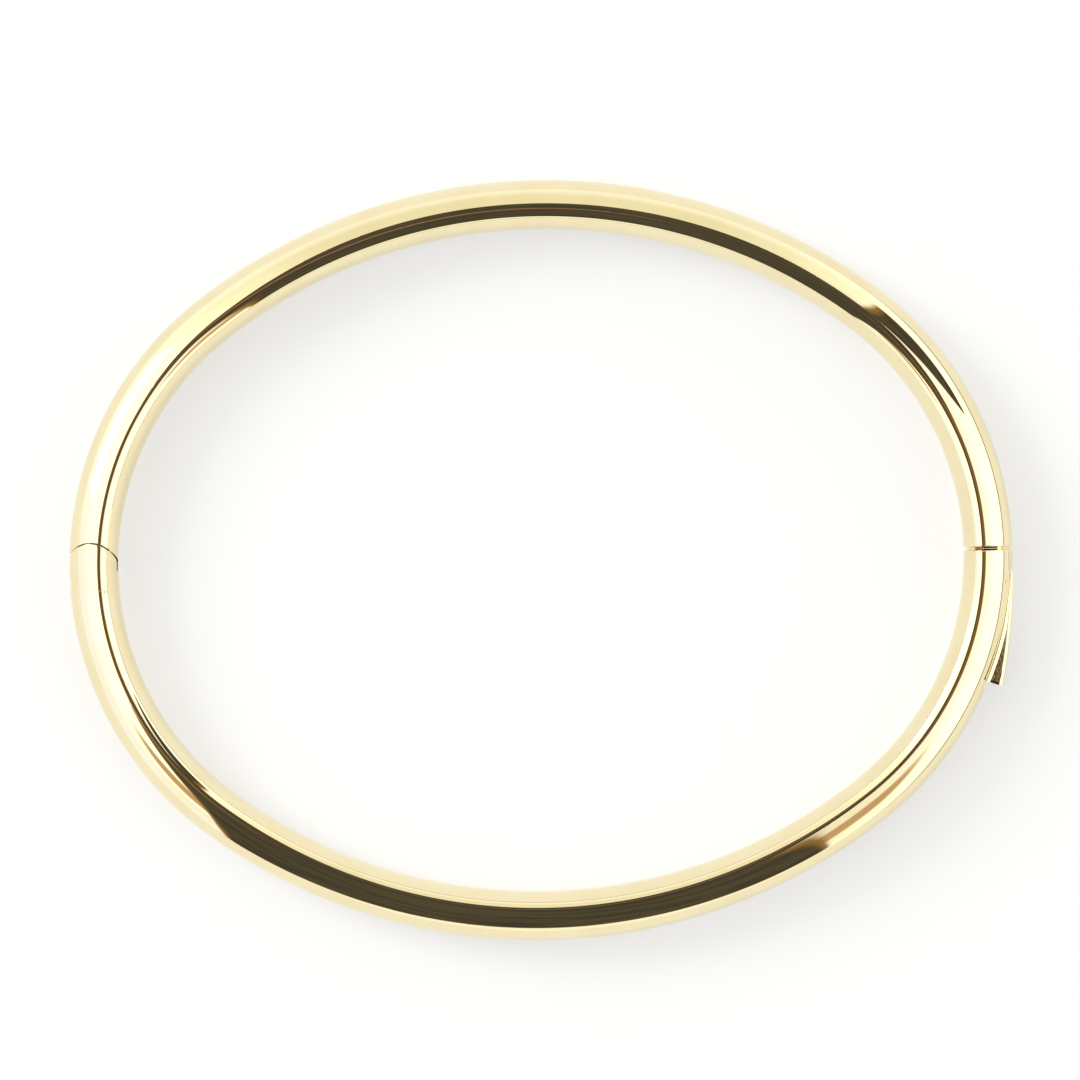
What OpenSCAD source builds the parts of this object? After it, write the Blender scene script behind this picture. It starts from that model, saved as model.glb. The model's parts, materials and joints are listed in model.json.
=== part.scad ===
// Hinged oval bangle of hollow, polished tube.
// Two half tubes meet at a round knuckle hinge at -X and at a tongue clasp with a side lever at +X.
// The bangle lies on its side: Z = 0 is the surface under it, and the wrist opening faces up and down.
// The oval and the tube's section are both made of tangent arcs.

/* [Oval] */
// Clear length inside, from the hinge to the clasp
inside_len = 60; // [58:1:64]
// Clear width inside, across the length
inside_wid = 47; // [46:0.5:49]

/* [Tube] */
// Height of the tube along the arm, which is also the full round of its outer face
band_h = 4.5; // [4.4:0.1:4.8]
// Radius of the tube's edges on the wrist side
edge_r = 0.75; // [0.7:0.05:0.9]
// Thickness of the tube's metal
wall_t = 0.4; // [0.3:0.05:0.5]

/* [Hinge] */
// Depth of the hinge pin's axis behind the outer face
pin_depth = 1.65; // [1.6:0.05:1.7]
// Diameter of the hinge pin
pin_d = 1; // [0.8:0.1:1.1]
// Radius of the round joint between the two halves
knuckle_r = 1.95; // [1.9:0.05:2.05]
// Gap of that joint, seen as a thin curved line
knuckle_gap = 0.08; // [0.06:0.01:0.12]
// Height of the leaf that turns on the pin, between the knuckle's two ears
leaf_h = 1.4; // [1:0.1:1.6]

/* [Clasp] */
// Gap of the straight seam between the closed halves
seam_gap = 0.1; // [0.06:0.02:0.16]
// Length of the tongue below the seam
tongue_len = 3; // [2.5:0.1:3]
// Thickness of the tongue, across the tube
tongue_t = 0.8; // [0.6:0.05:0.8]
// Height of the tongue
tongue_h = 2.2; // [1.6:0.1:2.2]

/* [Release lever] */
// Distance from the seam to the lever's upper end
lever_top = 1.7; // [1.6:0.05:1.8]
// Length of the lever
lever_len = 8; // [7:0.25:8.5]
// Height of the lever, along the arm
lever_h = 1.9; // [1.6:0.1:2]
// How far the free end stands proud of the tube
lever_proud = 1.15; // [0.9:0.05:1.2]
// Thickness of the lever at its free end
lever_tip_t = 1.35; // [1.2:0.05:1.4]
// Diameter of the lever's pin
lever_pin_d = 0.6; // [0.5:0.05:0.7]

/* [Hidden] */
$fn = 96;
far = 100; // longer than the bangle, for cutting blocks

gold = "#E9D89C";
pin_gold = "#B8995A";

fit = 0.02;   // gap round a pin that is fixed in its bore
run = 0.03;   // gap round a pin that a piece turns on
slide = 0.05; // gap beside a piece that slides or swings

// Section of the tube: a half round outside, an edge at the top and the bottom, and a shallow arc
// on the wrist side. The arcs there meet on lines with a slope of three to four.
dome_r = band_h / 2;
mid_z = dome_r;
edge_z = dome_r - edge_r;
wrist_r = edge_z / 0.6 + edge_r;
band_t = dome_r + wrist_r - edge_z / 0.75;

// Oval: the arcs round the ends and along the sides meet on lines with a slope of four to three
half_len = inside_len / 2 + band_t;
half_wid = inside_wid / 2 + band_t;
arc_step = (half_len - half_wid) / 0.4; // between the centres of two arcs that meet
end_c = 0.6 * arc_step;
side_c = 0.8 * arc_step;
end_r = half_len - end_c;
side_r = half_wid + side_c;
join_a = acos(0.6);

// Solid metal at the ends of the hollow halves, from the line through the hinge and the clasp
hinge_block = 4;
clasp_block = 3.2;
end_plate = 1.2;

// Hinge: the pin ends flush below, and is covered above
pin_x = -half_len + pin_depth;
pin_low = mid_z - 2.1;
pin_high = mid_z + 1.75;
eye_r = pin_depth - slide;
knuckle_reach = 2.2;    // past the knuckle, where its blank ends
leaf_sides = [-1, 1.3]; // from the pin's axis
leaf_inset = 0.03;      // the leaf lies this much below the tube's surface
slot_low = 0.9;         // the leaf's slot reaches this far below the pin's axis on the outside

// Clasp: the tongue curves about the hinge pin's axis, and so does its slot
tongue_in = inside_len / 2 + 0.6 - pin_x; // radius of the tongue's wrist side
vent_d = 0.6; // lets air out of the hollow half, hidden by the seam
vent_x = half_len - 1;

// Lever: it turns about a pin near its upper end, and swings in a pocket
lever_pin_x = half_len - 0.95;
lever_pin_y = -lever_top - 0.65;
lever_pin_low = mid_z - 1.9;
lever_pin_high = mid_z + 1.45;
lever_low = -lever_top - lever_len;
lever_back = lever_pin_x - 0.65; // wrist side of the lever beside its pin
lever_room = 0.2;                // behind the lever, for its swing
wall_room = 1.4;                 // the same where the tube is hollow, through its outer wall
lever_round = 0.35;              // rounding of the lever's outer edges
pocket_top = -lever_top + 0.12;
pocket_low = lever_low - 0.25;

// Outer face of the tube at a distance y from the line through the hinge and the clasp
function face_x(y) = end_c + sqrt(end_r ^ 2 - y ^ 2);

// Section of the tube, set back by inset all round. Its outer face is at x = 0 and the wrist at x < 0.
module tube_section(inset) {
    intersection() {
        translate([-dome_r, 0]) circle(dome_r - inset);
        translate([-dome_r, -dome_r]) square([dome_r, band_h]);
    }
    for (side = [0, 1]) mirror([0, side]) translate([-dome_r, edge_z]) intersection() {
        circle(edge_r - inset);
        polygon([[0, 0], [0, 8], [-8, 8], [-8, 6]]);
    }
    translate([-dome_r, 0]) intersection() {
        translate([edge_z / 0.75, 0]) circle(wrist_r - inset);
        polygon([[0, edge_z], [-8, edge_z + 6], [-8, -edge_z - 6], [0, -edge_z]]);
    }
}

// Tube along an arc of the oval, from the place where two arcs meet. It turns to the right if side is 1.
module arc_tube(centre, r, side, turn, inset) {
    translate([centre[0], centre[1], mid_z]) rotate([0, 0, join_a]) mirror([0, side, 0])
        rotate_extrude(angle = turn) translate([r, 0]) tube_section(inset);
}

// Everything below y, left out of a tube
module below(y) translate([-far, y - far, -1]) cube([2 * far, far, band_h + 2]);

// Quarter of the oval from a distance y above the line through the hinge and the clasp
module quarter_tube(y, inset) {
    difference() {
        arc_tube([end_c, 0], end_r, 1, 64, inset);
        below(y);
    }
    difference() {
        arc_tube([0, -side_c], side_r, 0, 45, inset);
        translate([-far, 0, -1]) cube([far, far, band_h + 2]);
    }
}

// Half of the oval, which starts at these distances from that line
module half_tube(clasp_y, hinge_y, inset = 0) {
    quarter_tube(clasp_y, inset);
    mirror([1, 0, 0]) quarter_tube(hinge_y, inset);
}

module hollow_half(clasp_y, hinge_y, clasp_solid) {
    difference() {
        half_tube(clasp_y, hinge_y);
        half_tube(clasp_solid, hinge_block, wall_t);
    }
}

module at_hinge() translate([pin_x, 0, 0]) children();
module at_lever_pin() translate([lever_pin_x, lever_pin_y, 0]) children();

// A flat block between two heights about the middle of the tube
module slab(low, high, h) translate([low[0], low[1], mid_z - h / 2]) cube([high[0] - low[0], high[1] - low[1], h]);

// The tongue, or with a gap its slot: part of a ring about the hinge pin, from above to below the seam
module tongue(gap, above, below) {
    turn = 180 / PI / tongue_in;
    at_hinge() translate([0, 0, mid_z - tongue_h / 2 - gap]) rotate([0, 0, above * turn]) mirror([0, 1, 0])
        rotate_extrude(angle = (above + below) * turn) translate([tongue_in - gap, 0])
            square([tongue_t + 2 * gap, tongue_h + 2 * gap]);
}

// The round knuckle that the lower half carries up to the hinge
module knuckle(gap = 0) at_hinge() translate([0, 0, -1]) cylinder(r = knuckle_r + gap, h = band_h + 2);

// Slot in the knuckle for the leaf: round behind the pin, and open to the upper half and the outside
module leaf_slot() {
    at_hinge() translate([0, 0, mid_z - leaf_h / 2 - slide]) cylinder(r = pin_depth, h = leaf_h + 2 * slide);
    slab([-far, 0], [0, far], leaf_h + 2 * slide);
    slab([-far, -slot_low], [pin_x + leaf_sides[0], far], leaf_h + 2 * slide);
}

module lower_half() color(gold) difference() {
    mirror([0, 1, 0]) hollow_half(seam_gap / 2, -knuckle_reach, clasp_block);
    difference() {
        translate([-far, 0, -1]) cube([far, far, band_h + 2]);
        knuckle();
    }
    leaf_slot();
    at_hinge() translate([0, 0, -1]) cylinder(d = pin_d + 2 * fit, h = pin_high + fit + 1);
    tongue(slide, end_plate, clasp_block + end_plate);
    slab([lever_back - lever_room, pocket_low], [far, pocket_top], lever_h + 2 * slide);
    slab([lever_back - wall_room, pocket_low], [far, -clasp_block], lever_h + 2 * slide);
    at_lever_pin() translate([0, 0, -1]) cylinder(d = lever_pin_d + 2 * fit, h = lever_pin_high + fit + 1);
}

module hinge_pin() color(pin_gold)
    at_hinge() translate([0, 0, pin_low]) cylinder(d = pin_d, h = pin_high - pin_low);

module lever_pin() color(pin_gold)
    at_lever_pin() translate([0, 0, lever_pin_low]) cylinder(d = lever_pin_d, h = lever_pin_high - lever_pin_low);

// The leaf reaches from round the pin into the solid end of the upper half
module hinge_leaf() intersection() {
    mirror([1, 0, 0]) difference() {
        arc_tube([end_c, 0], end_r, 1, 64, leaf_inset);
        below(-knuckle_reach);
    }
    at_hinge() translate([0, 0, mid_z - leaf_h / 2]) {
        cylinder(r = eye_r, h = leaf_h);
        translate([leaf_sides[0], 0, 0]) cube([leaf_sides[1] - leaf_sides[0], knuckle_r + 0.6, leaf_h]);
    }
}

module upper_half() color(gold) difference() {
    union() {
        difference() {
            hollow_half(seam_gap / 2, 0, end_plate);
            knuckle(knuckle_gap);
            translate([vent_x, 0, mid_z]) rotate([-90, 0, 0]) cylinder(d = vent_d, h = 2 * end_plate);
        }
        hinge_leaf();
        tongue(0, end_plate / 2, tongue_len);
    }
    at_hinge() cylinder(d = pin_d + 2 * run, h = band_h);
}

// The lever from above: a straight outer face, from flush at the top to proud at the free end
module lever_plan() polygon([
    [face_x(lever_top), -lever_top],
    [face_x(lever_low) + lever_proud, lever_low],
    [face_x(lever_low) + lever_proud - lever_tip_t, lever_low + 0.1],
    [lever_back, lever_pin_y - 0.6],
    [lever_back, -lever_top - 0.25],
    [lever_back + 0.25, -lever_top]]);

// Section of the lever, with its outer face at x = 0 and rounded edges there
module lever_section() {
    translate([-3, -lever_h / 2 + lever_round]) square([3, lever_h - 2 * lever_round]);
    translate([-3, -lever_h / 2]) square([3 - lever_round, lever_h]);
    for (side = [-1, 1]) translate([-lever_round, side * (lever_h / 2 - lever_round)]) circle(lever_round);
}

module release_lever() color(gold) difference() {
    lean = atan2(face_x(lever_top) - face_x(lever_low) - lever_proud, lever_len);
    intersection() {
        linear_extrude(band_h) lever_plan();
        translate([face_x(lever_top), -lever_top, mid_z]) rotate([90, 0, -lean]) translate([0, 0, -1])
            linear_extrude(lever_len + 2) lever_section();
    }
    at_lever_pin() cylinder(d = lever_pin_d + 2 * run, h = band_h);
}

lower_half();
hinge_pin();
lever_pin();
upper_half();
release_lever();
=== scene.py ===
import json
import math

import bmesh
import bpy
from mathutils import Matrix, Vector


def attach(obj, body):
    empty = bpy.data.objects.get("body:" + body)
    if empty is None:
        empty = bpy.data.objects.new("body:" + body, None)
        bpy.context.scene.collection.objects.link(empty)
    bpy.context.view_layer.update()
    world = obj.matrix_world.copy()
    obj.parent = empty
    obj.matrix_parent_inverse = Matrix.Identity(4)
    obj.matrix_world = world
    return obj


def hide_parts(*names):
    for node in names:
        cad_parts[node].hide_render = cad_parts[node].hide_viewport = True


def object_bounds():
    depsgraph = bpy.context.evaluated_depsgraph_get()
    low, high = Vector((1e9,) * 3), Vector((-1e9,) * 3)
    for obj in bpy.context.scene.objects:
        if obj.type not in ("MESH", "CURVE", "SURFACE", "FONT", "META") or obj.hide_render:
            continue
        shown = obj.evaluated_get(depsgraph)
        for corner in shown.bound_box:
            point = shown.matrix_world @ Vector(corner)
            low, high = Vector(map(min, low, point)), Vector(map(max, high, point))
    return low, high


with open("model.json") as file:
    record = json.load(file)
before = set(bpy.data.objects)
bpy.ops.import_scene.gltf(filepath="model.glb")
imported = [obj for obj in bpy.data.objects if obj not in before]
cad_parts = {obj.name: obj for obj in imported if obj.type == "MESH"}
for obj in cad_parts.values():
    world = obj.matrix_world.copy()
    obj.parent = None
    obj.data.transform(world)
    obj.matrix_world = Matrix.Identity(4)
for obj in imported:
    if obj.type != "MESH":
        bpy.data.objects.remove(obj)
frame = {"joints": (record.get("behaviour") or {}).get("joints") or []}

cad_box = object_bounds()
MM = 0.001

# The photograph's view: straight down, from above the middle of the picture
CAMERA_HEIGHT = 400 * MM
PICTURE_WIDTH = 76.7 * MM
CAMERA_FOOT = (-0.03 * MM, 1.42 * MM)
ROLL = math.radians(-1.5)
SENSOR = 36

# The light tent's walls, by side and height
LEFT_HIGH = (1.8, 1.8, 1.65, 1)
LEFT_LOW = (1.5, 1.5, 1.45, 1)
LEFT_FRONT = (1.12, 1.18, 1.38, 1)
RIGHT_HIGH = (1.2, 1.25, 1.35, 1)
RIGHT_LOW = (1.75, 1.75, 1.7, 1)
BACK_HIGH = (0.98, 0.95, 0.8, 1)
BACK_LOW = (1.15, 1.15, 1.14, 1)

# The dark cloth behind the tent's gaps, and the warm fringe of each gap
DARK = (0.09, 0.078, 0.058, 1)
DEEP = (0.055, 0.052, 0.046, 1)
FRINGE = (0.3, 0.17, 0.07, 1)

# What else the gold mirrors. Places and sizes are parts of the way from overhead, 0, to the horizon, 1,
# towards x and y. A list holds a place and a size for each spot.
OPENING_REACH = (0.06, 0.8)
OPENING_AT = -0.05
OPENING_HALF = 0.05
OPENING_SPREAD = 0.6
LENSES = (((0.02, 0.165), (0.14, 0.13)), ((0.0, -0.02), (0.05, 0.08)))
HOOD, HOOD_SIZE = (0.02, 0.0), (0.13, 0.07)
HOOD_COLOUR = (0.23, 0.13, 0.04, 1)
SIDE_GAP_TURN = 48            # degrees from the right towards the back
SIDE_GAP_TILT = 0.68
SIDE_GAP_START, SIDE_GAP_SLOPE = 0.115, 0.26
HANDS = (((-0.335, -0.3), (0.1, 0.1)), ((0.28, -0.41), (0.12, 0.16)))
HAND_COLOUR = (0.62, 0.42, 0.27, 1)
GLINT, GLINT_SIZE = (-0.04, 0.09), (0.07, 0.015)
GLINT_COLOUR = (0.4, 0.2, 0.14, 1)
SKIRTING = (0.95, 1.02)
SKIRTING_LEAST, SKIRTING_MOST = 0.15, 1
SKIRTING_RISE = (0.5, 0.8)
SKIRTING_COLOUR = (0.33, 0.31, 0.18, 1)
ROUND, SQUARISH = 2, 4        # powers of a spot's outline

# The soft box
KEY_PLACE = (-0.62, 0.32, 0.42)
KEY_SIZE = 0.35
KEY_POWER = 4
KEY_COLOUR = (1, 0.99, 0.97)

# The floor is a white sheet that is lit from below as well
FLOOR = (0.39, 0.393, 0.4, 1)
FLOOR_GLOW = (1, 1, 1, 1)
FLOOR_GLOW_SHARE = 0.53
FLOOR_HALF = 3                # metres

# The metals' colours
GOLD = (0.9, 0.8, 0.52, 1)
GOLD_DEEP = (0.88, 0.77, 0.485, 1)
# Painted reflection: brown on the clasp's slopes beside the seam, and the same brown in the line scribed
# above the lever
SEAM_REFLECTION_AND_LINE = (0.42, 0.2, 0.08, 1)
# Painted shade in the middle of the clasp's seam
SEAM_SHADE = (0.11, 0.03, 0.012, 1)
SAWN_DARK = (0.13, 0.075, 0.035, 1)
SAWN_LIGHT = (0.34, 0.23, 0.12, 1)
# Painted shade along the lever's slanted free end
END_SHADE = (0.03, 0.035, 0.02, 1)
WIRE = (0.84, 0.68, 0.4, 1)
WIRE_DEEP = (0.7, 0.53, 0.29, 1)

# The bangle, in millimetres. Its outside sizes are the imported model's, and its arcs follow from them.
HALF_LEN, HALF_WID = [round(c / MM, 1) for c in cad_box[1][:2]]
HINGE, PRESS = [[c / MM for c in joint["pos_m"]] for joint in frame["joints"]]
MID = HINGE[2]
COS, SIN = 0.6, 0.8           # of the angle at which two arcs meet, that of a 3-4-5 triangle
JOIN = math.degrees(math.acos(COS))
DOME_R = MID                  # the section: half round outside, small edges, and the wrist side
EDGE_R = 0.75
EDGE_Z = DOME_R - EDGE_R
WRIST_R = EDGE_Z / COS + EDGE_R
WRIST_C = DOME_R - EDGE_Z * SIN / COS
BAND = WRIST_C + WRIST_R
ARC_STEP = (HALF_LEN - HALF_WID) / (COS + SIN - 1)
END_C = COS * ARC_STEP        # the oval: centres and radii of the arcs round the ends and along the sides
SIDE_C = SIN * ARC_STEP
END_R = HALF_LEN - END_C
SIDE_R = HALF_WID + SIDE_C
SEAM = 0.02                   # half the gap at the clasp, narrower than the solids' to keep it dark
CLASP_SLOPE = 0.17            # the slope on each side of it
KNUCKLE_R = 1.95              # the round joint at the hinge, and its socket
SOCKET_R = 2.03
HINGE_PIN_R, HINGE_PIN_TOP = 0.5, 1.75
LEVER_PIN_R, LEVER_PIN_TOP = 0.3, 1.45
PIN_PLAY = 0.02               # round a pin where it sits, and where a piece turns on it
TURN_PLAY = 0.03
LEAF_R, LEAF_HALF = 1.6, 0.7
TONGUE_INNER, TONGUE_OUTER = 62.45, 63.25
TONGUE_HALF = 1.1
PLAY = 0.05                   # round the leaf and the tongue in their slots
LEVER_HALF = 0.95             # half the lever's height, and its slope's width and fall
LEVER_SLOPE, LEVER_DROP = 0.69, 0.2
FAR = 60                      # beyond the bangle, for cutting blocks
UNDER = -4                    # below the tube, from its middle
SHARP = 35                    # degrees from which an edge is sharp

# The rings that close an end, from the middle out, and the steps of a rounded rim
CAP = (0.05, 0.2, 0.4, 0.6, 0.8)
ROUNDING = 6


class Graph:
    """A node tree written as expressions: each call adds a node and gives back its first output."""

    def __init__(self, tree):
        self.tree = tree
        self.tree.nodes.clear()

    def node(self, kind, **settings):
        made = self.tree.nodes.new(kind)
        for name, value in settings.items():
            setattr(made, name, value)
        return made

    def plug(self, value, socket):
        if isinstance(value, bpy.types.NodeSocket):
            self.tree.links.new(value, socket)
        else:
            socket.default_value = value

    def math(self, operation, *values):
        made = self.node("ShaderNodeMath", operation=operation)
        for value, socket in zip(values, made.inputs):
            self.plug(value, socket)
        return made.outputs[0]

    def step(self, value, low, high):
        """0 below low, 1 above high, and smooth between them."""
        made = self.node("ShaderNodeMapRange", interpolation_type="SMOOTHSTEP")
        for name, given in (("Value", value), ("From Min", low), ("From Max", high)):
            self.plug(given, made.inputs[name])
        return made.outputs["Result"]

    def product(self, *values):
        total = values[0]
        for value in values[1:]:
            total = self.math("MULTIPLY", total, value)
        return total

    def rest(self, value):
        """What is left of 1."""
        return self.math("SUBTRACT", 1, value)

    def near(self, value, low, high):
        """1 where the value is nearer to 0 than low, 0 beyond high."""
        return self.rest(self.step(self.math("ABSOLUTE", value), low, high))

    def band(self, value, low, high, soft):
        """1 between low and high, 0 outside them."""
        return self.product(self.step(value, low - soft, low + soft),
                            self.rest(self.step(value, high - soft, high + soft)))

    def spot(self, u, v, place, size, power, soft):
        """1 in an oval about a place, 0 outside it. A higher power squares its corners."""
        shares = []
        for coordinate, middle, reach in zip((u, v), place, size):
            off = self.math("DIVIDE", self.math("SUBTRACT", coordinate, middle), reach)
            shares.append(self.math("POWER", self.math("ABSOLUTE", off), power))
        return self.rest(self.step(self.math("ADD", *shares), 1 - soft, 1 + soft))

    def split(self, vector):
        made = self.node("ShaderNodeSeparateXYZ")
        self.plug(vector, made.inputs[0])
        return made.outputs

    def join(self, *values):
        made = self.node("ShaderNodeCombineXYZ")
        for value, socket in zip(values, made.inputs):
            self.plug(value, socket)
        return made.outputs[0]

    def scaled(self, vector, scale):
        made = self.node("ShaderNodeVectorMath", operation="MULTIPLY")
        self.plug(vector, made.inputs[0])
        self.plug(scale, made.inputs[1])
        return made.outputs[0]

    def length(self, x, y):
        return self.math("SQRT", self.math("ADD", self.product(x, x), self.product(y, y)))

    def noise(self, vector, scale, detail):
        made = self.node("ShaderNodeTexNoise")
        self.plug(vector, made.inputs["Vector"])
        self.plug(scale, made.inputs["Scale"])
        self.plug(detail, made.inputs["Detail"])
        return made.outputs[0]

    def bump(self, height, distance, normal=None):
        """The normal of a surface raised by this height times this many metres."""
        made = self.node("ShaderNodeBump")
        self.plug(height, made.inputs["Height"])
        self.plug(distance, made.inputs["Distance"])
        if normal:
            self.plug(normal, made.inputs["Normal"])
        return made.outputs[0]

    def mix(self, factor, a, b):
        """Between the colours a and b."""
        made = self.node("ShaderNodeMix", data_type="RGBA")
        self.plug(factor, made.inputs[0])
        self.plug(a, made.inputs[6])
        self.plug(b, made.inputs[7])
        return made.outputs[2]


def light_tent():
    """The soft light all round, as a world: bright walls, a plain back, and gaps that the gold mirrors."""
    world = bpy.data.worlds.new("light_tent")
    world.use_nodes = True
    bpy.context.scene.world = world
    g = Graph(world.node_tree)
    x, y, z = g.split(g.node("ShaderNodeTexCoord").outputs["Generated"])
    # Places in the tent: u towards x and v towards y, each 0 overhead and 1 at the horizon
    tilt = g.math("DIVIDE", g.math("ARCCOSINE", z), math.pi / 2)
    never_zero = 1e-5
    flat = g.math("MAXIMUM", g.length(x, y), never_zero)
    side = g.math("DIVIDE", x, flat)
    away = g.math("DIVIDE", y, flat)
    u = g.product(side, tilt)
    v = g.product(away, tilt)
    colour = tent_walls(g, side, away, tilt)
    colour = g.mix(skirting(g, u, tilt), colour, SKIRTING_COLOUR)
    for place, size in HANDS:
        colour = g.mix(g.spot(u, v, place, size, ROUND, soft=0.6), colour, HAND_COLOUR)
    colour = g.mix(g.spot(u, v, HOOD, HOOD_SIZE, SQUARISH, soft=0.3), colour, HOOD_COLOUR)
    dark = g.math("MAXIMUM", front_opening(g, u, v), side_gap(g, u, v, tilt))
    for place, size in LENSES:
        dark = g.math("MAXIMUM", dark, g.spot(u, v, place, size, SQUARISH, soft=0.25))
    folds = g.noise(g.join(u, v, 0), scale=9, detail=3)
    cloth = g.mix(g.step(folds, 0.4, 0.65), DARK, DEEP)
    colour = g.mix(g.step(dark, 0, 0.5), colour, FRINGE)
    colour = g.mix(g.step(dark, 0.5, 1), colour, cloth)
    colour = g.mix(g.spot(u, v, GLINT, GLINT_SIZE, ROUND, soft=0.7), colour, GLINT_COLOUR)
    light = g.node("ShaderNodeBackground")
    g.plug(colour, light.inputs["Color"])
    g.plug(light.outputs[0], g.node("ShaderNodeOutputWorld").inputs["Surface"])


def tent_walls(g, side, away, tilt):
    """The tent without its gaps. side runs from left, -1, to right, 1, and away from front to back."""
    corner = (0.35, 0.95)
    # Where each wall's light changes from high to low, and the lower left wall's from front to back
    back_change, left_change, right_change = (0.6, 0.9), (0.5, 0.72), (0.25, 0.5)
    front_change = (0.05, 0.5)
    left = g.step(g.math("MULTIPLY", side, -1), *corner)
    right = g.step(side, *corner)
    walls = g.mix(g.step(tilt, *back_change), BACK_HIGH, BACK_LOW)
    left_low = g.mix(g.step(away, *front_change), LEFT_FRONT, LEFT_LOW)
    walls = g.mix(left, walls, g.mix(g.step(tilt, *left_change), LEFT_HIGH, left_low))
    return g.mix(right, walls, g.mix(g.step(tilt, *right_change), RIGHT_HIGH, RIGHT_LOW))


def skirting(g, u, tilt):
    """The dim strip along the horizon, which grows towards the right."""
    rise = g.product(g.step(u, *SKIRTING_RISE), SKIRTING_MOST - SKIRTING_LEAST)
    return g.product(g.math("ADD", SKIRTING_LEAST, rise), g.band(tilt, *SKIRTING, soft=0.015))


def front_opening(g, u, v):
    """The gap at the front, wider near the horizon, where the photographer stands."""
    edge = 0.02
    down = g.math("MULTIPLY", v, -1)
    reach = g.band(down, *OPENING_REACH, soft=0.03)
    half = g.math("ADD", OPENING_HALF, g.math("MULTIPLY", down, OPENING_SPREAD))
    off = g.math("ABSOLUTE", g.math("SUBTRACT", u, OPENING_AT))
    return g.product(reach, g.step(g.math("SUBTRACT", half, off), -edge, edge))


def side_gap(g, u, v, tilt):
    """The narrow gap at the back right, where two sheets don't meet. It widens towards its foot."""
    soft_side, soft_foot = 0.01, 0.02
    start = g.math("ADD", SIDE_GAP_START, g.product(u, SIDE_GAP_SLOPE))
    beyond = g.step(g.math("SUBTRACT", v, start), -soft_side, soft_side)
    turned = g.band(g.math("ARCTAN2", v, u), 0, math.radians(SIDE_GAP_TURN), soft=0.05)
    high = g.rest(g.step(tilt, SIDE_GAP_TILT - soft_foot, SIDE_GAP_TILT + soft_foot))
    return g.product(turned, high, beyond)


def key_light():
    """A low soft box at the upper left, which gives the floor its faint shadows."""
    made = bpy.data.objects.new("key_light", bpy.data.lights.new("key_light", "AREA"))
    bpy.context.collection.objects.link(made)
    made.data.shape, made.data.size = "SQUARE", KEY_SIZE
    made.data.energy = KEY_POWER
    made.data.color = KEY_COLOUR
    made.location = KEY_PLACE
    made.rotation_euler = (-Vector(KEY_PLACE)).to_track_quat("-Z", "Y").to_euler()


def camera():
    """The photograph's camera. Its picture is as wide as measured at the middle of the bangle's height."""
    made = bpy.data.objects.new("camera", bpy.data.cameras.new("camera"))
    bpy.context.collection.objects.link(made)
    made.data.sensor_width = SENSOR
    made.data.lens = SENSOR * (CAMERA_HEIGHT - cad_box[1].z / 2) / PICTURE_WIDTH
    made.data.clip_start, made.data.clip_end = 0.01, 20
    made.location = (*CAMERA_FOOT, CAMERA_HEIGHT)
    made.rotation_euler = (0, 0, ROLL)
    bpy.context.scene.camera = made


def add_object(name, mesh, *materials):
    for material in materials:
        mesh.materials.append(material)
    made = bpy.data.objects.new(name, mesh)
    bpy.context.collection.objects.link(made)
    return made


def mesh_of(name, vertices, faces):
    """A closed mesh from vertices in millimetres, its faces turned outwards."""
    mesh = bpy.data.meshes.new(name)
    mesh.from_pydata([[c * MM for c in v] for v in vertices], [], faces)
    work = bmesh.new()
    work.from_mesh(mesh)
    bmesh.ops.recalc_face_normals(work, faces=work.faces)
    work.to_mesh(mesh)
    work.free()
    return mesh


def grid_faces(rings, size):
    """Faces between rings of vertices, each ring closed."""
    faces = []
    for k in range(rings - 1):
        for i in range(size):
            j = (i + 1) % size
            faces.append((k * size + i, k * size + j, (k + 1) * size + j, (k + 1) * size + i))
    return faces


def oval(depth, angle):
    """A point of the upper half's plan, that deep behind its outer face, which looks towards the angle."""
    a = math.radians(angle)
    if angle < JOIN:
        cx, cy, r = END_C, 0, END_R
    elif angle > 180 - JOIN:
        cx, cy, r = -END_C, 0, END_R
    else:
        cx, cy, r = 0, -SIDE_C, SIDE_R
    return cx + (r - depth) * math.cos(a), cy + (r - depth) * math.sin(a)


def section(inset, turn):
    """Depth and height of the surface where its normal has turned this far from outwards, over the top."""
    if turn <= 90 or turn >= 270:
        centre, r = (DOME_R, 0), DOME_R
    elif turn <= 90 + JOIN:
        centre, r = (DOME_R, EDGE_Z), EDGE_R
    elif turn < 270 - JOIN:
        centre, r = (WRIST_C, 0), WRIST_R
    else:
        centre, r = (DOME_R, -EDGE_Z), EDGE_R
    a = math.radians(turn)
    return centre[0] - (r - inset) * math.cos(a), centre[1] + (r - inset) * math.sin(a)


def spread(low, high, count):
    """Even steps from low, without high itself."""
    return [low + (high - low) * k / count for k in range(count)]


# The directions of the normal round the tube, in even steps along each arc
TURNS = (spread(0, 90, 36) + spread(90, 90 + JOIN, 14) + spread(90 + JOIN, 270 - JOIN, 24)
         + spread(270 - JOIN, 270, 14) + spread(270, 360, 36))


def ring(inset, angle_at, shrink=1):
    """One ring of the tube. angle_at gives the oval's angle for a depth, and shrink closes an end."""
    points = []
    for turn in TURNS:
        d, z = section(inset, turn)
        d, z = BAND / 2 + (d - BAND / 2) * shrink, z * shrink
        points.append((*oval(d, angle_at(d)), MID + z))
    return points


def at_clasp(y):
    """The plane of the clasp, that far from its seam."""
    return lambda d: math.degrees(math.asin(y / (END_R - d)))


def at_knuckle(radius, past):
    """Where the tube meets a cylinder about the hinge pin, before the pin, or past it for the other half."""
    reach = -END_C - HINGE[0]

    def angle(d):
        r = END_R - d
        a = math.degrees(math.acos((r * r + reach * reach - radius * radius) / (2 * r * reach)))
        return 180 + a if past else 180 - a
    return angle


def level_at_hinge(y):
    """A plane across the tube beside the hinge."""
    return lambda d: 180 - math.degrees(math.asin(y / (END_R - d)))


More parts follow.
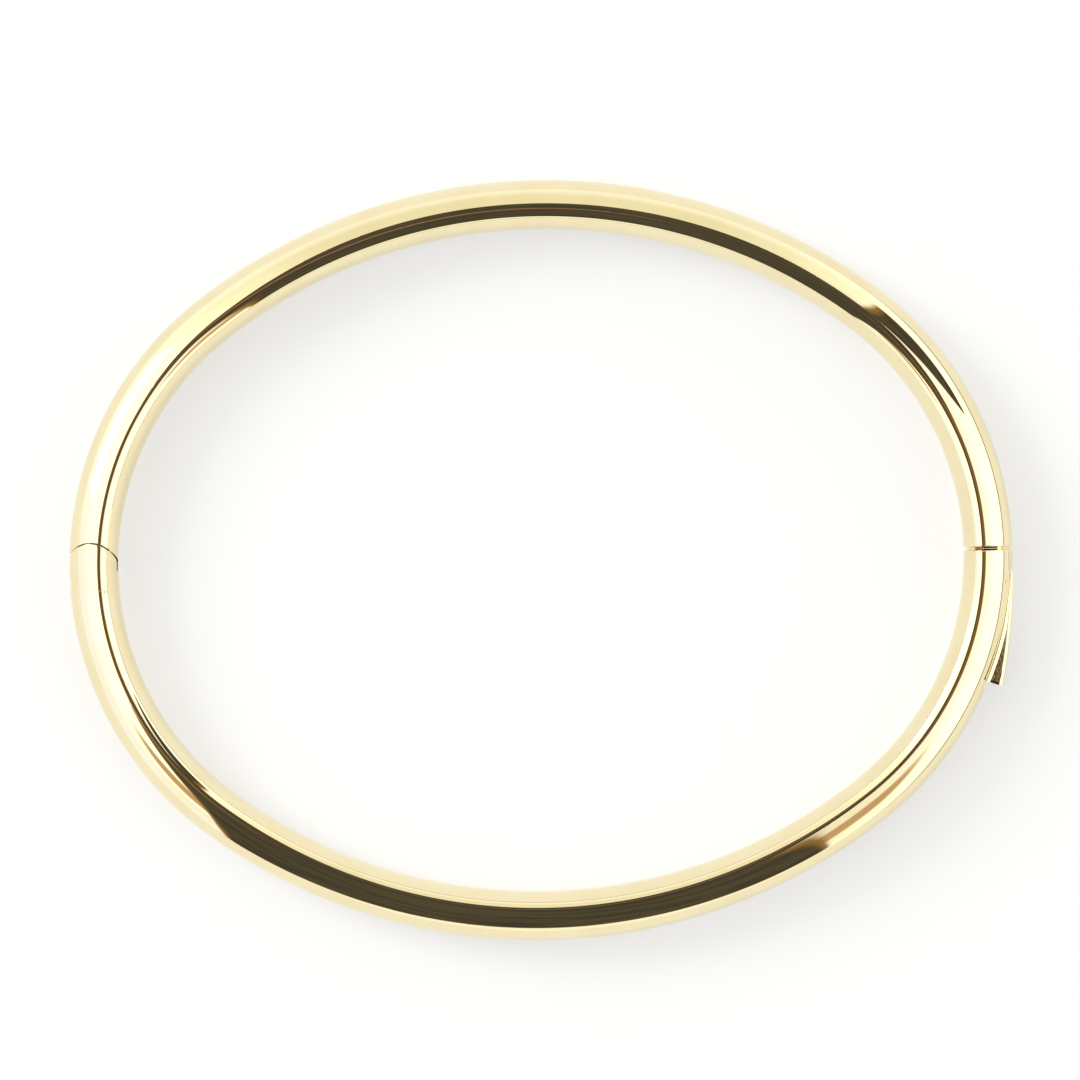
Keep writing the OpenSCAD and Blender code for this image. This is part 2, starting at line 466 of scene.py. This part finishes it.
def between(a, b, part):
    """Part of the way from one cut to another."""
    return lambda d: a(d) + (b(d) - a(d)) * part


def steady(angle):
    """A cut square to the tube."""
    return lambda d: angle


def clasp_rim():
    """The clasp's slope of 45 degrees and its rounded crest: each ring's way from the seam, and inset."""
    crest = 0.07
    start = CLASP_SLOPE + crest * math.tan(math.radians(22.5))
    rim = [(part, CLASP_SLOPE - part) for part in spread(0, start - crest * math.sin(math.radians(45)), 4)]
    for k in range(ROUNDING + 1):
        a = math.radians(45 * (1 - k / ROUNDING))
        rim.append((start - crest * math.sin(a), crest * (1 - math.cos(a))))
    return rim


def clasp_end():
    """Rings from the middle of the clasp's end plate out to its rim."""
    rings = [ring(CLASP_SLOPE, at_clasp(SEAM), shrink) for shrink in CAP]
    return rings + [ring(inset, at_clasp(SEAM + advance)) for advance, inset in clasp_rim()]


def solder_line(bend):
    """Rings to and across the hairline where the knuckle's block is soldered in, and the cut beyond it."""
    middle, half, sunk, steps = 1.35, 0.025, 0.012, 6
    start = level_at_hinge(middle + half)
    rings = [ring(0, between(steady(bend), start, k / steps)) for k in range(1, steps + 1)]
    rings += [ring(sunk, level_at_hinge(middle + side * half / 3)) for side in (1, -1)]
    end = level_at_hinge(middle - half)
    return rings + [ring(0, end)], end


def hinge_end(start, past):
    """Rings from a cut to the rounded rim at the hinge, and on to the middle of the end."""
    radius, sign = (KNUCKLE_R, -1) if past else (SOCKET_R, 1)
    rim, steps = 0.04, 14
    edge = at_knuckle(radius + sign * rim, past)
    rings = [ring(0, between(start, edge, k / steps)) for k in range(1, steps)]
    for k in range(ROUNDING + 1):
        a = math.radians(90 * k / ROUNDING)
        cut = at_knuckle(radius + sign * rim * (1 - math.sin(a)), past)
        rings.append(ring(rim * (1 - math.cos(a)), cut))
    return rings + [ring(rim, at_knuckle(radius, past), shrink) for shrink in reversed(CAP)]


def half_tube(name, past):
    """One half of the tube as a closed mesh with rounded rims. The half past the pin carries the knuckle."""
    # Between the clasp's rim and the hinge the rings are even, in degrees of the oval's face
    first, last, count = 0.75, 171, 240
    rings = clasp_end()
    rings += [ring(0, steady(first + (last - first) * k / count)) for k in range(count + 1)]
    start = steady(last)
    if past:
        line, start = solder_line(last)
        rings += line
    rings += hinge_end(start, past)
    size = len(TURNS)
    vertices = [point for one in rings for point in one]
    faces = grid_faces(len(rings), size)
    faces += [tuple(range(size)), tuple((len(rings) - 1) * size + i for i in range(size))]
    if past:
        vertices = [(x, -y, z) for x, y, z in vertices]
    return mesh_of(name, vertices, faces)


def prism(name, plan, low, high):
    """A flat outline between two heights above the middle of the tube."""
    n = len(plan)
    vertices = [(x, y, MID + z) for z in (low, high) for x, y in plan]
    return mesh_of(name, vertices, grid_faces(2, n) + [tuple(range(n)), tuple(range(n, 2 * n))])


def box(name, low, high):
    plan = [(low[0], low[1]), (high[0], low[1]), (high[0], high[1]), (low[0], high[1])]
    return prism(name, plan, low[2], high[2])


def disc(name, centre, radius, low, high, steps=96):
    turns = [2 * math.pi * k / steps for k in range(steps)]
    plan = [(centre[0] + radius * math.cos(a), centre[1] + radius * math.sin(a)) for a in turns]
    return prism(name, plan, low, high)


def sector(name, inner, outer, low_y, high_y, half_height):
    """Part of a ring about the hinge pin, beside the clasp, between two distances from the seam."""
    steps = 24
    levels = [low_y + (high_y - low_y) * k / steps for k in range(steps + 1)]
    angles = [math.asin(y / inner) for y in levels]
    plan = [(HINGE[0] + inner * math.cos(a), inner * math.sin(a)) for a in angles]
    plan += [(HINGE[0] + outer * math.cos(a), outer * math.sin(a)) for a in reversed(angles)]
    return prism(name, plan, -half_height, half_height)


def combine(mesh, operation, tools):
    """The mesh after a boolean with each of the tools, which are used up."""
    target = add_object("target", mesh)
    for tool in tools:
        other = add_object("tool", tool)
        cut = target.modifiers.new("cut", "BOOLEAN")
        cut.operation, cut.solver, cut.object = operation, "EXACT", other
        graph = bpy.context.evaluated_depsgraph_get()
        made = bpy.data.meshes.new_from_object(target.evaluated_get(graph))
        target.modifiers.clear()
        target.data = made
        bpy.data.objects.remove(other)
    mesh = target.data
    bpy.data.objects.remove(target)
    return mesh


def finish_mesh(mesh, sharp=SHARP):
    """Smooth shading, but for edges that bend by more than this angle."""
    for face in mesh.polygons:
        face.use_smooth = True
    mesh.set_sharp_from_angle(angle=math.radians(sharp))
    return mesh


def lower_half(material):
    """The half with the knuckle, cut out for the leaf, the tongue, the pins and the lever."""
    slot = LEAF_HALF + PLAY
    # The leaf's slot opens towards the upper half, and outwards where the leaf's bar swings
    past_hinge, inside = 10, -20
    side_low, side_in = -0.9, HINGE[0] - 1
    tongue_end, tongue_mouth = -4.4, 1.2
    tools = [
        disc("leaf_slot", HINGE, LEAF_R + PLAY, -slot, slot),
        box("leaf_gap", (-FAR, 0, -slot), (inside, past_hinge, slot)),
        box("leaf_side", (-FAR, side_low, -slot), (side_in, past_hinge, slot)),
        disc("pin_bore", HINGE, HINGE_PIN_R + PIN_PLAY, UNDER, HINGE_PIN_TOP + PIN_PLAY),
        sector("tongue_slot", TONGUE_INNER - PLAY, TONGUE_OUTER + PLAY, tongue_end, tongue_mouth,
               TONGUE_HALF + PLAY),
    ]
    # The lever's pocket gets deeper towards the free end: where each step begins, and how far in it goes
    pocket_end, pocket_half = -9.95, 1
    for begins, depth in ((-1.58, 31.6), (-3.2, 30.5), (-7.5, 29.8)):
        tools.append(box("pocket", (depth, pocket_end, -pocket_half), (FAR, begins, pocket_half)))
    bore, bore_top = LEVER_PIN_R + PIN_PLAY, LEVER_PIN_TOP + PIN_PLAY
    tools.append(disc("lever_bore", PRESS, bore, UNDER, bore_top, steps=48))
    mesh = combine(half_tube("lower_half_shell", True), "DIFFERENCE", tools)
    made = add_object("lower_half_shell", finish_mesh(mesh), material)
    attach(made, "lower")
    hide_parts("lower_half")


def upper_half(material):
    """The half that swings open. Its leaf and its tongue are pieces of their own."""
    made = add_object("upper_half_shell", finish_mesh(half_tube("upper_half_shell", False)), material)
    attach(made, "upper")
    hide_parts("upper_half")
    leaf(material)
    tongue(material)


def pin(name, place, radius, top, material):
    """A pin of the lower half, whose lower end is filed flush with the tube."""
    rod = disc(name + "_body", place, radius, UNDER, top, steps=48)
    mesh = combine(rod, "INTERSECT", [half_tube("tube", True)])
    made = add_object(name + "_body", finish_mesh(mesh), material)
    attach(made, "lower")
    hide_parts(name)


def leaf(material):
    """The leaf that turns on the hinge pin: an eye with rounded corners and the bar that holds it."""
    bore = HINGE_PIN_R + TURN_PLAY
    corner, corner_steps, steps = 0.2, 6, 96
    profile = [(bore, -LEAF_HALF), (bore, LEAF_HALF)]
    for k in range(corner_steps + 1):
        a = math.radians(90 - 90 * k / corner_steps)
        profile.append((LEAF_R - corner + corner * math.cos(a), LEAF_HALF - corner + corner * math.sin(a)))
    profile += [(r, -z) for r, z in reversed(profile[2:])]
    vertices, n = [], len(profile)
    for k in range(steps):
        a = 2 * math.pi * k / steps
        vertices += [(HINGE[0] + r * math.cos(a), r * math.sin(a), MID + z) for r, z in profile]
    faces = []
    for k in range(steps):
        here, there = k * n, (k + 1) % steps * n
        for i in range(n):
            j = (i + 1) % n
            faces.append((here + i, here + j, there + j, there + i))
    eye = mesh_of("eye", vertices, faces)
    bar_from, bar_to = (HINGE[0] - 0.95, 0.9), (HINGE[0] + 1.3, 2.55)
    bar = box("bar", (*bar_from, -LEAF_HALF), (*bar_to, LEAF_HALF))
    made = add_object("hinge_leaf", finish_mesh(combine(eye, "UNION", [bar])), material)
    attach(made, "upper")


def tongue(material):
    """The curved tongue that slides into the clasp's box."""
    tip, root = -3.04, 0.6
    mesh = sector("tongue", TONGUE_INNER, TONGUE_OUTER, tip, root, TONGUE_HALF)
    made = add_object("clasp_tongue", finish_mesh(mesh), material)
    bevel(made, 0.12, segments=3)
    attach(made, "upper")


def bevel(piece, width, segments):
    """Rounds the sharp edges of a piece."""
    step = piece.modifiers.new("rounding", "BEVEL")
    step.width = width * MM
    step.segments = segments
    step.limit_method = "ANGLE"
    step.angle_limit = math.radians(SHARP)
    step.harden_normals = True


def face_at(y):
    """Outer face of the tube, that far along the end."""
    return END_C + math.sqrt(END_R ** 2 - y * y)


def lever_ring(t):
    """One level of the lever, from its upper end, 0, to its free end, 1: a closed ring of points."""
    # The blade's upper end, and the two corners of its slanted free end
    top, low_inner, low_outer = -1.7, -9.27, -9.7
    # The outer face stands proud at the free end, and bulges between the ends
    proud, bulge = 1.13, 0.2
    round_top, round_low, round_steps = 0.2, 0.38, 16
    # The ridge lies just outside the tube, and inside the rounded edge
    ridge_top, ridge_low, ridge_edge = 0.02, 0.14, 0.02
    back_top, back_low, thin = 31.9, 31.23, 0.03
    # The free end's slant begins this far outside the ridge, and takes this width
    slant_from, slant_over = 0.6, 1.2
    y = top + (low_outer - top) * t
    outer = face_at(top) + (face_at(low_outer) + proud - face_at(top)) * t + bulge * 4 * t * (1 - t)
    r = round_top + (round_low - round_top) * t
    ridge = min(face_at(y) + ridge_top + (ridge_low - ridge_top) * t, outer - r - ridge_edge)
    back = min(back_top + (back_low - back_top) * t, ridge - LEVER_SLOPE - thin)
    side = []
    for k in range(round_steps + 1):
        a = math.pi / 2 * (1 - k / round_steps)
        side.append((outer - r + r * math.sin(a), LEVER_HALF - r + r * math.cos(a)))
    low = LEVER_HALF - LEVER_DROP
    side += [(ridge, LEVER_HALF), (ridge - LEVER_SLOPE, low), (back, low)]
    up = []
    for x, z in side:
        inward = max(0, min(1, (ridge + slant_from - x) / slant_over))
        up.append((x, y + (low_inner - low_outer) * t * inward, MID + z))
    return up + [(x, y, 2 * MID - z) for x, y, z in reversed(up)]


def release_lever(polish, sawn):
    """A blade that grows out of the tube: a rounded outer face, flat sawn sides and a polished slope."""
    steps = 32
    rings = [lever_ring(k / steps) for k in range(steps + 1)]
    n = len(rings[0])
    vertices = [point for one in rings for point in one]
    faces = grid_faces(len(rings), n) + [tuple(range(n)), tuple(steps * n + i for i in range(n))]
    bore = disc("bore", PRESS, LEVER_PIN_R + TURN_PLAY, UNDER, -UNDER, steps=48)
    mesh = combine(mesh_of("release_lever", vertices, faces), "DIFFERENCE", [bore])
    made = add_object("release_lever_body", finish_mesh(mesh, sharp=10), polish, sawn)
    flat, near = 0.99, 0.01
    for polygon in made.data.polygons:
        level = abs(polygon.normal.z) > flat
        at_side = abs(polygon.center.z / MM - MID) > LEVER_HALF - near
        polygon.material_index = 1 if level and at_side else 0
    bevel(made, 0.05, segments=2)
    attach(made, "lever")
    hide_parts("release_lever")


def floor_material():
    material = bpy.data.materials.new("floor")
    material.use_nodes = True
    g = Graph(material.node_tree)
    shader = g.node("ShaderNodeBsdfPrincipled")
    g.plug(FLOOR, shader.inputs["Base Color"])
    g.plug(0.6, shader.inputs["Roughness"])
    g.plug(0.0, shader.inputs["Specular IOR Level"])
    g.plug(FLOOR_GLOW, shader.inputs["Emission Color"])
    g.plug(FLOOR_GLOW_SHARE, shader.inputs["Emission Strength"])
    g.plug(shader.outputs[0], g.node("ShaderNodeOutputMaterial").inputs["Surface"])
    return material


def floor():
    mesh = bpy.data.meshes.new("floor")
    corners = [(x * FLOOR_HALF, y * FLOOR_HALF, 0) for x, y in ((-1, -1), (1, -1), (1, 1), (-1, 1))]
    mesh.from_pydata(corners, [], [(0, 1, 2, 3)])
    add_object("floor", mesh, floor_material())


def along_tube(g):
    """Places on the tube, in metres: along it, up, and outwards. With them, the frame's own coordinates."""
    x, y, z = g.split(g.node("ShaderNodeTexCoord").outputs["Object"])
    along = g.product(g.math("ARCTAN2", y, x), HALF_LEN * MM)
    return g.join(along, z, g.length(x, y)), (x, y, z)


def metal(name):
    """A metal material, its graph and its shader."""
    material = bpy.data.materials.new(name)
    material.use_nodes = True
    g = Graph(material.node_tree)
    shader = g.node("ShaderNodeBsdfPrincipled")
    g.plug(1.0, shader.inputs["Metallic"])
    g.plug(shader.outputs[0], g.node("ShaderNodeOutputMaterial").inputs["Surface"])
    return material, g, shader


def polish_marks(g, place):
    """Fine hairlines along the tube, and weaker ones across it."""
    along, across = (50, 9000, 9000), (7000, 160, 160)
    hairs = g.step(g.noise(g.scaled(place, along), scale=1, detail=2), 0.6, 0.78)
    crossing = g.step(g.noise(g.scaled(place, across), scale=1, detail=2), 0.64, 0.8)
    return g.math("MAXIMUM", hairs, g.product(crossing, 0.6))


def painted_seam_marks(g, x, y, z):
    """Masks: painted reflection on the clasp's rim beside the seam, darkening in the line scribed above the
    lever, and painted shade amid the rim in the seam.
    """
    wrist_side, seam_shade_from, seam_shade_to = 29 * MM, 31.3 * MM, 32.3 * MM
    scribed_x, scribed_y = (33.1 * MM, 33.15 * MM), (-1.65 * MM, -0.3 * MM)
    from_axis = g.length(g.math("SUBTRACT", x, (HALF_LEN - DOME_R) * MM), g.math("SUBTRACT", z, MID * MM))
    rim = g.step(from_axis, (DOME_R - 0.45) * MM, (DOME_R - 0.3) * MM)
    seam = g.product(rim, g.near(y, 0.09 * MM, 0.2 * MM))
    # Painted reflection on the seam's slopes, towards the wrist side
    seam_reflection_and_line = g.product(seam, g.band(x, wrist_side, seam_shade_from, soft=0.2 * MM), 0.8)
    # Darker in the line scribed above the lever
    scribed = g.product(g.band(x, *scribed_x, soft=0.01 * MM), g.band(y, *scribed_y, soft=0.05 * MM))
    seam_reflection_and_line = g.math("MAXIMUM", seam_reflection_and_line, g.product(scribed, 0.6))
    # Painted shade amid the rim, in the seam's middle stretch
    middle = g.band(x, seam_shade_from, seam_shade_to, soft=0.08 * MM)
    return seam_reflection_and_line, g.product(rim, g.near(y, 0.12 * MM, 0.16 * MM), middle)


def polished_gold():
    """Mirror polish with faint waves, hairlines, a few dull patches, painted reflection and shade in the
    clasp's seam, and a darkened line above the lever.
    """
    material, g, shader = metal("polished_gold")
    place, (x, y, z) = along_tube(g)
    # The mirror's own roughness, and what the dull patches and the hairlines add to it
    mirror, duller, scratched = 0.008, 0.02, 0.04
    wave_height, mark_height = 0.012 * MM, 0.0002 * MM
    marks = polish_marks(g, place)
    dull = g.noise(place, scale=260, detail=3)
    rough = g.math("ADD", g.product(dull, duller), g.product(marks, scratched))
    g.plug(g.math("ADD", rough, mirror), shader.inputs["Roughness"])
    # Painted reflection and shade at the clasp's seam, and the darkened line above the lever
    seam_reflection_and_line, seam_shade = painted_seam_marks(g, x, y, z)
    tone = g.mix(g.step(dull, 0.35, 0.7), GOLD, GOLD_DEEP)
    g.plug(g.mix(seam_shade, g.mix(seam_reflection_and_line, tone, SEAM_REFLECTION_AND_LINE), SEAM_SHADE), shader.inputs["Base Color"])
    waves = g.bump(g.noise(place, scale=150, detail=1), wave_height)
    g.plug(g.bump(marks, mark_height, waves), shader.inputs["Normal"])
    return material


def satin_gold():
    """Drawn wire: rings of fine lines round the pins."""
    material, g, shader = metal("satin_gold")
    rings, line_height = (3000, 3000, 20000), 0.002 * MM
    smooth, rougher = 0.2, 0.25
    place = g.node("ShaderNodeTexCoord").outputs["Object"]
    lines = g.noise(g.scaled(place, rings), scale=1, detail=2)
    g.plug(g.math("ADD", smooth, g.product(lines, rougher)), shader.inputs["Roughness"])
    g.plug(g.mix(lines, WIRE, WIRE_DEEP), shader.inputs["Base Color"])
    g.plug(g.bump(lines, line_height), shader.inputs["Normal"])
    return material


def sawn_gold():
    """The lever's flat sides as they were sawn: mottled, browner towards the free end, with painted shade
    along the slanted free end.
    """
    material, g, shader = metal("sawn_gold")
    place = g.node("ShaderNodeTexCoord").outputs["Object"]
    x, y = g.split(place)[:2]
    grain = g.noise(place, scale=9000, detail=4)
    spots = g.step(g.noise(g.scaled(place, (1, 0.5, 1)), scale=6000, detail=2), 0.42, 0.62)
    brown_from, brown_to, brown_share = 4 * MM, 7.5 * MM, 0.95
    free = g.step(g.math("MULTIPLY", y, -1), brown_from, brown_to)
    tone = g.mix(g.product(free, brown_share), GOLD_DEEP, g.mix(spots, SAWN_DARK, SAWN_LIGHT))
    # The slanted free end, as the distance from a line through its inner corner
    corner_x, corner_y, slant = 31.26, -9.27, 0.364
    end_shade_to, clean_from = 0.06 * MM, 0.14 * MM
    from_end = g.math("ADD", g.math("ADD", y, g.product(x, slant)), -(corner_y + slant * corner_x) * MM)
    # Painted shade: near-black along the slanted free end
    tone = g.mix(g.step(from_end, end_shade_to, clean_from), END_SHADE, tone)
    g.plug(tone, shader.inputs["Base Color"])
    smooth, rougher, cut_depth = 0.22, 0.3, 0.006 * MM
    g.plug(g.math("ADD", smooth, g.product(grain, rougher)), shader.inputs["Roughness"])
    g.plug(g.bump(g.math("ADD", grain, spots), cut_depth), shader.inputs["Normal"])
    return material


polish, satin, sawn = polished_gold(), satin_gold(), sawn_gold()
pin("hinge_pin", HINGE, HINGE_PIN_R, HINGE_PIN_TOP, satin)
pin("lever_pin", PRESS, LEVER_PIN_R, LEVER_PIN_TOP, satin)
lower_half(polish)
upper_half(polish)
release_lever(polish, sawn)
light_tent()
key_light()
camera()
floor()
bpy.context.scene.view_settings.view_transform = "Standard"
